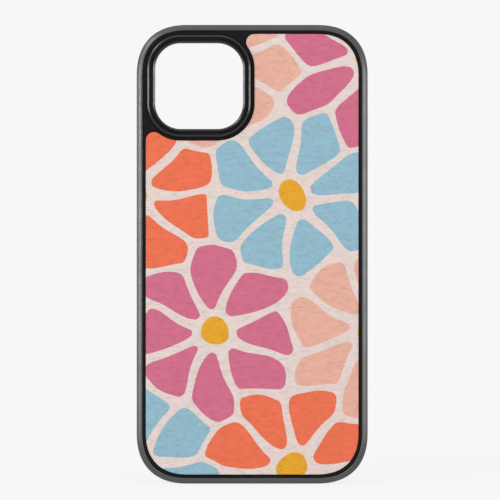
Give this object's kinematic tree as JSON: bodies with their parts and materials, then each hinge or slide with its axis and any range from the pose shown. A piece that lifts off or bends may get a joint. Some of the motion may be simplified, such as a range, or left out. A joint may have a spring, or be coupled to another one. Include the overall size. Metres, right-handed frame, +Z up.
{
  "type": "phone case",
  "caption": "Protective phone case with a hard frame over a soft bumper, a printed leather back panel, a raised camera ring and side press buttons.",
  "frame": {"origin": "middle of the bottom edge, halfway through the depth", "axes": "+Z up along the long side, -Y the way the leather back faces, +X to the right when the back is seen"},
  "size_m": [0.0764, 0.0126, 0.1515],
  "materials": {
    "graphite_frame": "satin graphite",
    "graphite_button": "satin graphite",
    "black_rubber": "fine matte",
    "black_trim": "satin black with polished edges",
    "printed_leather": "printed, fine tumbled grain",
    "stiff_board": "plain sheet",
    "adhesive_film": "clear film",
    "microfibre": "short nap"
  },
  "bodies": {
    "case": {"outer_frame": "graphite_frame", "inner_bumper": "black_rubber", "back_board": "stiff_board", "adhesive_sheet": "adhesive_film", "leather_insert": "printed_leather", "camera_ring": "black_trim", "microfibre_lining": "microfibre"},
    "volume_up_button": {"volume_up_cap": "graphite_button", "volume_up_pusher": "black_rubber"},
    "volume_down_button": {"volume_down_cap": "graphite_button", "volume_down_pusher": "black_rubber"},
    "side_button": {"side_button_cap": "graphite_button", "side_button_pusher": "black_rubber"}
  },
  "joints": [
    {"name": "volume_up_press", "type": "slide", "parent": "case", "child": "volume_up_button", "axis": [-1, 0, 0], "range_m": [0, 0.0005], "stiffness_N_per_m": 3000},
    {"name": "volume_down_press", "type": "slide", "parent": "case", "child": "volume_down_button", "axis": [-1, 0, 0], "range_m": [0, 0.0005], "stiffness_N_per_m": 3000},
    {"name": "side_button_press", "type": "slide", "parent": "case", "child": "side_button", "axis": [1, 0, 0], "range_m": [0, 0.0005], "stiffness_N_per_m": 3000}
  ]
}
